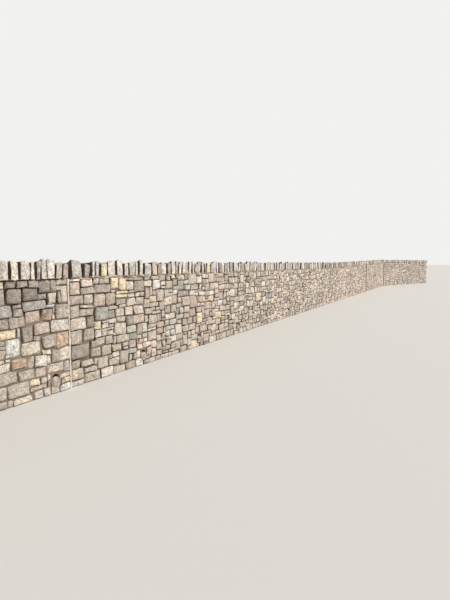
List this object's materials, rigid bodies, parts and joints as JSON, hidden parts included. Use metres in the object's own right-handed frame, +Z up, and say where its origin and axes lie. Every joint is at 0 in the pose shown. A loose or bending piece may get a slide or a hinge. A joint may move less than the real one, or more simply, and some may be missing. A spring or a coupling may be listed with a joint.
{
  "type": "stone-faced retaining wall",
  "caption": "Low retaining wall in jointed bays: rubble stone face on a concrete stem, coping of stones on edge, weep pipes, last bay turned.",
  "frame": {"origin": "underside of the wall, in the middle of its thickness, half-way along the five straight bays", "axes": "+X along the straight run from its left end, -Y out of the stone face, +Z up; the sixth bay turns 20 degrees towards -Y"},
  "size_m": [39.6312, 2.7574, 1.7217],
  "materials": {
    "concrete": "board-marked concrete",
    "rubble_stone": "split-faced limestone rubble in recessed mortar",
    "coping_stone": "split-faced limestone on edge",
    "upvc_pipe": "matt pipe",
    "joint_board": "bitumen-coated fibreboard",
    "sealant": "tooled masonry sealant"
  },
  "bodies": {
    "root": {"backing_wall_1": "concrete", "backing_wall_2": "concrete", "backing_wall_3": "concrete", "backing_wall_4": "concrete", "backing_wall_5": "concrete", "backing_wall_6": "concrete", "coping_1": "coping_stone", "coping_2": "coping_stone", "coping_3": "coping_stone", "coping_4": "coping_stone", "coping_5": "coping_stone", "coping_6": "coping_stone", "end_return_left": "rubble_stone", "end_return_right": "rubble_stone", "joint_filler_1": "joint_board", "joint_filler_2": "joint_board", "joint_filler_3": "joint_board", "joint_filler_4": "joint_board", "joint_filler_5": "joint_board", "joint_sealant_1": "sealant", "joint_sealant_2": "sealant", "joint_sealant_3": "sealant", "joint_sealant_4": "sealant", "joint_sealant_5": "sealant", "stone_facing_1": "rubble_stone", "stone_facing_2": "rubble_stone", "stone_facing_3": "rubble_stone", "stone_facing_4": "rubble_stone", "stone_facing_5": "rubble_stone", "stone_facing_6": "rubble_stone", "weep_pipes_1": "upvc_pipe", "weep_pipes_2": "upvc_pipe", "weep_pipes_3": "upvc_pipe", "weep_pipes_4": "upvc_pipe", "weep_pipes_5": "upvc_pipe", "weep_pipes_6": "upvc_pipe"}
  },
  "joints": []
}
